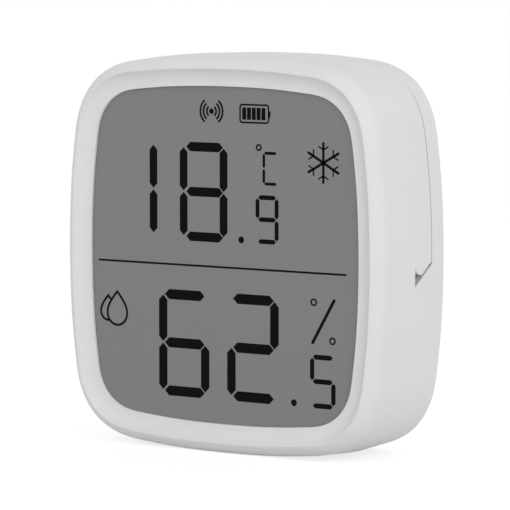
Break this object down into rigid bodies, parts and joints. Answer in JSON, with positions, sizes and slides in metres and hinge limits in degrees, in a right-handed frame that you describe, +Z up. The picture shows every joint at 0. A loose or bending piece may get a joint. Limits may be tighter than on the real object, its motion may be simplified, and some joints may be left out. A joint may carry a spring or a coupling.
{
  "type": "temperature humidity sensor",
  "caption": "Squircle desk and wall sensor with a large reflective display in a raised lip, a pull-off rear cover over the coin cell, and a pairing button in the back.",
  "frame": {"origin": "on the standing plane, under the middle of the body", "axes": "+X to the right as the display is read, +Y from the display to the back, +Z up"},
  "size_m": [0.0574, 0.0185, 0.059],
  "materials": {
    "shell_plastic": "fine satin texture, off-white",
    "display_film": "smooth satin grey",
    "display_glass": "clear float glass",
    "mirror_film": "bright diffuse mirror film",
    "black_foam": "matt closed-cell foam",
    "holder_plastic": "plain moulded",
    "strip_rubber": "layered silicone",
    "board_laminate": "green solder mask",
    "screw_steel": "zinc plated",
    "can_steel": "tinned sheet",
    "chip_resin": "moulded resin",
    "capacitor_ceramic": "sintered ceramic",
    "switch_plastic": "moulded",
    "plunger_plastic": "moulded",
    "button_plastic": "fine satin, light grey",
    "cell_steel": "turned nickel plated steel",
    "contact_bronze": "nickel flashed spring bronze",
    "magnet_nickel": "nickel plated"
  },
  "bodies": {
    "sensor_body": {"front_housing": "shell_plastic", "display_film": "display_film", "display_gasket": "black_foam", "display_front_glass": "display_glass", "display_rear_glass": "display_glass", "display_mirror": "mirror_film", "display_holder": "holder_plastic", "display_strip": "strip_rubber", "main_board": "board_laminate", "board_screws": "screw_steel", "radio_board": "board_laminate", "radio_can": "can_steel", "display_driver": "chip_resin", "crystal": "can_steel", "chip_capacitors": "capacitor_ceramic", "sensor_chip": "chip_resin", "tact_switch": "switch_plastic", "rear_housing": "shell_plastic", "coin_cell": "cell_steel", "cell_cap_contact": "contact_bronze", "cell_can_contact": "contact_bronze"},
    "rear_cover": {"rear_cover": "shell_plastic", "magnets": "magnet_nickel", "cell_pad": "black_foam"},
    "pairing_button": {"pairing_button": "button_plastic"},
    "switch_plunger": {"switch_plunger": "plunger_plastic"}
  },
  "joints": [
    {"name": "rear_cover_pull", "type": "slide", "parent": "sensor_body", "child": "rear_cover", "axis": [0, 1, 0], "range_m": [0, 0.03]},
    {"name": "pairing_button_press", "type": "slide", "parent": "sensor_body", "child": "pairing_button", "axis": [0, -1, 0], "range_m": [0, 0.0003], "stiffness_N_per_m": 6000},
    {"name": "switch_plunger_press", "type": "slide", "parent": "sensor_body", "child": "switch_plunger", "axis": [0, -1, 0], "range_m": [0, 0.0003]}
  ],
  "couplings": [
    {"joint": "switch_plunger_press", "follows": "pairing_button_press", "ratio": 1}
  ]
}
